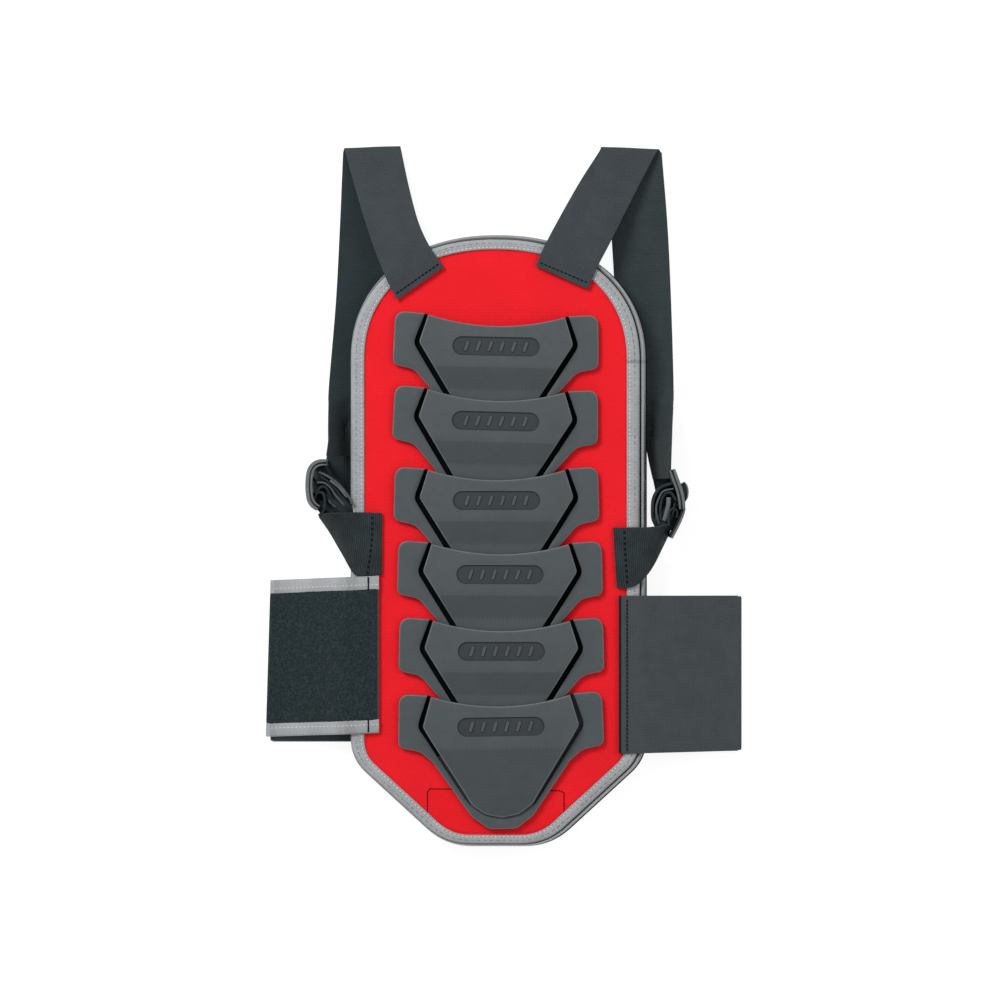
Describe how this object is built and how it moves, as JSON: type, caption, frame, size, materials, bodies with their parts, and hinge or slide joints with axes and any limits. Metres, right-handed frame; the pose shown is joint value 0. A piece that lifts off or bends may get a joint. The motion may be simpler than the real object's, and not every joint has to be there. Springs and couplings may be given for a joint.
{
  "type": "back protector",
  "caption": "Articulated back protector: overlapping hard plates on a padded panel bound with tape, with elastic shoulder straps, buckles and a folding waist belt.",
  "frame": {"origin": "centre of the footprint, on the surface that the protector lies on, back down", "axes": "+Z out of the hard plates, +Y towards the shoulders, +X to the right as seen from above"},
  "size_m": [0.3798, 0.562, 0.0495],
  "materials": {
    "red_fabric": "woven polyester face fabric, matt",
    "plate_plastic": "moulded polypropylene, satin with fine grain",
    "webbing": "ribbed elastic webbing",
    "silver_tape": "grey woven binding tape, stitched",
    "dark_mesh": "black spacer mesh",
    "foam": "closed-cell foam",
    "loop_pile": "brushed loop pile",
    "elastic": "wide woven elastic",
    "buckle_plastic": "moulded acetal, satin"
  },
  "bodies": {
    "segment_1": {"foam_block_1": "foam", "spine_pad_1": "dark_mesh", "plate_1": "plate_plastic", "plate_1_anchor_left": "plate_plastic", "plate_1_anchor_right": "plate_plastic", "shoulder_strap_left": "webbing", "shoulder_strap_right": "webbing"},
    "segment_2": {"foam_block_2": "foam", "spine_pad_2": "dark_mesh", "plate_2": "plate_plastic", "plate_2_anchor_left": "plate_plastic", "plate_2_anchor_right": "plate_plastic"},
    "segment_3": {"foam_block_3": "foam", "spine_pad_3": "dark_mesh", "plate_3": "plate_plastic", "plate_3_anchor_left": "plate_plastic", "plate_3_anchor_right": "plate_plastic"},
    "segment_4": {"foam_block_4": "foam", "spine_pad_4": "dark_mesh", "plate_4": "plate_plastic", "plate_4_anchor_left": "plate_plastic", "plate_4_anchor_right": "plate_plastic", "buckle_tab_left": "webbing", "buckle_tab_right": "webbing"},
    "segment_5": {"foam_block_5": "foam", "spine_pad_5": "dark_mesh", "plate_5": "plate_plastic", "plate_5_anchor_left": "plate_plastic", "plate_5_anchor_right": "plate_plastic", "front_panel": "red_fabric", "back_lining": "dark_mesh", "side_gusset": "dark_mesh", "front_binding": "silver_tape", "back_binding": "silver_tape", "belt_left": "elastic", "belt_left_loop_pile": "loop_pile", "belt_left_top_binding": "silver_tape", "belt_left_bottom_binding": "silver_tape", "belt_right": "elastic"},
    "segment_6": {"foam_block_6": "foam", "spine_pad_6": "dark_mesh", "plate_6": "plate_plastic", "plate_6_anchor_left": "plate_plastic", "plate_6_anchor_right": "plate_plastic"},
    "rear_strap_left": {"rear_strap_left": "webbing"},
    "buckle_left": {"buckle_left": "buckle_plastic", "strap_loop_left": "webbing"},
    "rear_strap_right": {"rear_strap_right": "webbing"},
    "buckle_right": {"buckle_right": "buckle_plastic", "strap_loop_right": "webbing"},
    "belt_flap_left": {"belt_left_flap": "elastic", "belt_left_flap_pile": "loop_pile"},
    "belt_flap_right": {"belt_right_flap": "elastic", "hook_patch": "loop_pile"}
  },
  "joints": [
    {"name": "lumbar_flex", "type": "hinge", "parent": "segment_5", "child": "segment_4", "pos_m": [-0.0076, -0.1016, 0.0145], "axis": [-1, 0, 0], "range_deg": [-1.5, 3.5], "stiffness_Nm_per_rad": 2},
    {"name": "spine_flex", "type": "hinge", "parent": "segment_4", "child": "segment_3", "pos_m": [-0.0076, -0.0405, 0.0145], "axis": [-1, 0, 0], "range_deg": [-3, 8], "stiffness_Nm_per_rad": 2, "deforming": ["front_panel", "back_lining", "side_gusset", "front_binding", "back_binding"]},
    {"name": "mid_flex", "type": "hinge", "parent": "segment_3", "child": "segment_2", "pos_m": [-0.0076, 0.0206, 0.0145], "axis": [-1, 0, 0], "range_deg": [-3, 8], "stiffness_Nm_per_rad": 2},
    {"name": "shoulder_flex", "type": "hinge", "parent": "segment_2", "child": "segment_1", "pos_m": [-0.0076, 0.0817, 0.0145], "axis": [-1, 0, 0], "range_deg": [-3, 8], "stiffness_Nm_per_rad": 2},
    {"name": "tail_flex", "type": "hinge", "parent": "segment_5", "child": "segment_6", "pos_m": [-0.0076, -0.1627, 0.0145], "axis": [1, 0, 0], "range_deg": [-1.5, 3.5], "stiffness_Nm_per_rad": 2},
    {"name": "strap_fold_left", "type": "hinge", "parent": "segment_1", "child": "rear_strap_left", "pos_m": [0, 0.2746, 0.0012], "axis": [-1, 0, 0], "range_deg": [-1, 2]},
    {"name": "strap_fold_right", "type": "hinge", "parent": "segment_1", "child": "rear_strap_right", "pos_m": [0, 0.2746, 0.0012], "axis": [-1, 0, 0], "range_deg": [-1, 2]},
    {"name": "buckle_pivot_left", "type": "hinge", "parent": "segment_4", "child": "buckle_left", "pos_m": [-0.149, -0.0105, 0.02525], "axis": [0, 0, 1], "range_deg": [-5, 5], "stiffness_Nm_per_rad": 0.05},
    {"name": "buckle_pivot_right", "type": "hinge", "parent": "segment_4", "child": "buckle_right", "pos_m": [0.1338, -0.0185, 0.02525], "axis": [0, 0, 1], "range_deg": [-5, 5], "stiffness_Nm_per_rad": 0.05},
    {"name": "belt_fold_left", "type": "hinge", "parent": "segment_5", "child": "belt_flap_left", "pos_m": [-0.1896, -0.136, 0.0043], "axis": [0, 1, 0], "range_deg": [0, 170]},
    {"name": "belt_fold_right", "type": "hinge", "parent": "segment_5", "child": "belt_flap_right", "pos_m": [0.1896, -0.136, 0.0043], "axis": [0, -1, 0], "range_deg": [0, 170]}
  ],
  "couplings": [
    {"joint": "lumbar_flex", "follows": "spine_flex", "ratio": 0.4},
    {"joint": "tail_flex", "follows": "spine_flex", "ratio": 0.4},
    {"joint": "mid_flex", "follows": "spine_flex", "ratio": 1},
    {"joint": "shoulder_flex", "follows": "spine_flex", "ratio": 1},
    {"joint": "strap_fold_left", "follows": "spine_flex", "ratio": 0.07},
    {"joint": "strap_fold_right", "follows": "spine_flex", "ratio": 0.07}
  ]
}
